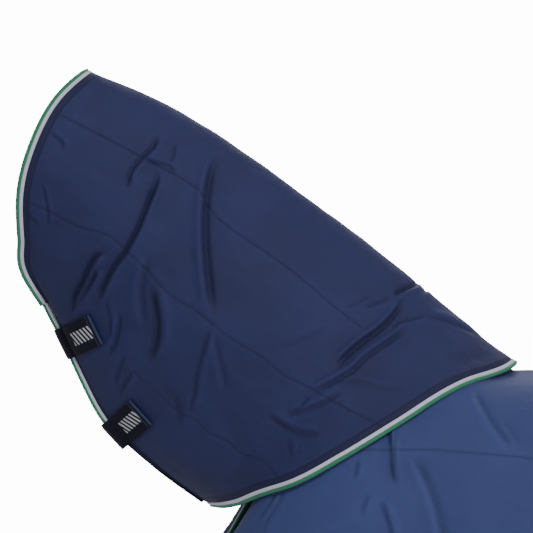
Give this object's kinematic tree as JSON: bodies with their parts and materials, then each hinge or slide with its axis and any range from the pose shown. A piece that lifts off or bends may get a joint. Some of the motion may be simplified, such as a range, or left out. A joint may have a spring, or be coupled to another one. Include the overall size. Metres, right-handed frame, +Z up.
{
  "type": "turnout rug",
  "caption": "Horse turnout rug shaped as worn, with a detachable neck cover, throat tabs, chest straps, belly surcingles, leg straps and tail flap.",
  "frame": {"origin": "underside of the withers pad on the spine, where the rug rests on the horse's back", "axes": "+X to the tail, -X to the head, -Y the near (left) side, +Z up"},
  "size_m": [2.5338, 0.6686, 1.4616],
  "materials": {
    "rug_cloth": "matte woven polyester",
    "neck_cloth": "matte woven polyester",
    "lining": "smooth nylon",
    "fleece": "brushed pile",
    "braid": "woven braid tape",
    "piping": "woven cord piping",
    "webbing": "ribbed webbing",
    "steel": "nickel plated steel"
  },
  "bodies": {
    "rug": {"chest_lower_hook": "steel", "chest_lower_ring": "steel", "chest_lower_ring_tab": "webbing", "chest_lower_strap": "webbing", "chest_upper_hook": "steel", "chest_upper_ring": "steel", "chest_upper_ring_tab": "webbing", "chest_upper_strap": "webbing", "rug_front_binding_near": "braid", "rug_front_binding_off": "braid", "rug_hem_binding_near": "braid", "rug_hem_binding_off": "braid", "rug_lining_near": "lining", "rug_lining_off": "lining", "rug_neckline_binding": "braid", "rug_neckline_piping": "piping", "rug_rear_binding": "braid", "rug_shell_near": "rug_cloth", "rug_shell_off": "rug_cloth", "withers_pad": "fleece"},
    "neck_cover": {"neck_crest_tape": "lining", "neck_front_binding": "braid", "neck_front_piping": "piping", "neck_lining_near": "lining", "neck_lining_off": "lining", "neck_rear_binding": "braid", "neck_rear_piping": "piping", "neck_shell_near": "neck_cloth", "neck_shell_off": "neck_cloth", "neck_throat_binding_near": "braid", "neck_throat_binding_off": "braid"},
    "throat_tab_1": {"throat_tab_1": "webbing"},
    "throat_tab_2": {"throat_tab_2": "webbing"},
    "tail_flap": {"tail_flap": "rug_cloth", "tail_flap_binding_hem": "braid", "tail_flap_binding_near": "braid", "tail_flap_binding_off": "braid"},
    "surcingle_front": {"surcingle_front_plate_strap": "webbing", "surcingle_front_slot_plate": "steel", "surcingle_front_strap": "webbing", "surcingle_front_t_hook": "steel"},
    "surcingle_rear": {"surcingle_rear_plate_strap": "webbing", "surcingle_rear_slot_plate": "steel", "surcingle_rear_strap": "webbing", "surcingle_rear_t_hook": "steel"},
    "leg_near": {"leg_near_hook": "steel", "leg_near_ring": "steel", "leg_near_ring_tab": "webbing", "leg_near_strap": "webbing"},
    "leg_off": {"leg_off_hook": "steel", "leg_off_ring": "steel", "leg_off_ring_tab": "webbing", "leg_off_strap": "webbing"},
    "chest_lower_gate": {"chest_lower_gate": "steel"},
    "chest_upper_gate": {"chest_upper_gate": "steel"},
    "leg_near_gate": {"leg_near_gate": "steel"},
    "leg_off_gate": {"leg_off_gate": "steel"}
  },
  "joints": [
    {"name": "neck_cover_lift", "type": "hinge", "parent": "rug", "child": "neck_cover", "pos_m": [-0.085, 0, 0.0344], "axis": [0, 1, 0], "range_deg": [0, 8]},
    {"name": "throat_tab_1_peel", "type": "hinge", "parent": "neck_cover", "child": "throat_tab_1", "pos_m": [-0.91728, 0.04901, 0.08018], "axis": [0.3634, 0, -0.9316], "range_deg": [0, 100]},
    {"name": "throat_tab_2_peel", "type": "hinge", "parent": "neck_cover", "child": "throat_tab_2", "pos_m": [-0.79481, 0.05978, -0.05451], "axis": [0.759, 0, -0.6511], "range_deg": [0, 100]},
    {"name": "tail_flap_lift", "type": "hinge", "parent": "rug", "child": "tail_flap", "pos_m": [1.337, 0, -0.03144], "axis": [0, -1, 0], "range_deg": [0, 80]},
    {"name": "surcingle_front_swing", "type": "hinge", "parent": "rug", "child": "surcingle_front", "pos_m": [0.224, 0.29531, -0.6609], "axis": [0.4853, -0.8744, -0.0024], "range_deg": [-4, 4]},
    {"name": "surcingle_rear_swing", "type": "hinge", "parent": "rug", "child": "surcingle_rear", "pos_m": [0.56, 0.31012, -0.66255], "axis": [-0.4853, -0.8744, 0.0024], "range_deg": [-4, 4]},
    {"name": "leg_near_swing", "type": "hinge", "parent": "rug", "child": "leg_near", "pos_m": [1.036, -0.2898, -0.65749], "axis": [0.9924, 0.1195, -0.0289], "range_deg": [-5, 5]},
    {"name": "leg_off_swing", "type": "hinge", "parent": "rug", "child": "leg_off", "pos_m": [1.036, 0.2898, -0.65749], "axis": [0.9924, -0.1195, -0.0289], "range_deg": [-5, 5]},
    {"name": "chest_upper_gate_open", "type": "hinge", "parent": "rug", "child": "chest_upper_gate", "pos_m": [-0.69677, -0.09202, -0.45656], "axis": [0.6574, 0.4255, 0.622], "range_deg": [0, 22], "stiffness_Nm_per_rad": 0.01},
    {"name": "chest_lower_gate_open", "type": "hinge", "parent": "rug", "child": "chest_lower_gate", "pos_m": [-0.6832, -0.09063, -0.68364], "axis": [0.5703, 0.292, 0.7678], "range_deg": [0, 22], "stiffness_Nm_per_rad": 0.01},
    {"name": "leg_near_gate_open", "type": "hinge", "parent": "leg_near", "child": "leg_near_gate", "pos_m": [1.28754, -0.21785, -0.73929], "axis": [-0.1779, 0.6742, 0.7168], "range_deg": [0, 22], "stiffness_Nm_per_rad": 0.01},
    {"name": "leg_off_gate_open", "type": "hinge", "parent": "leg_off", "child": "leg_off_gate", "pos_m": [1.29526, 0.21785, -0.74883], "axis": [0.6639, -0.6742, -0.3235], "range_deg": [0, 22], "stiffness_Nm_per_rad": 0.01}
  ]
}
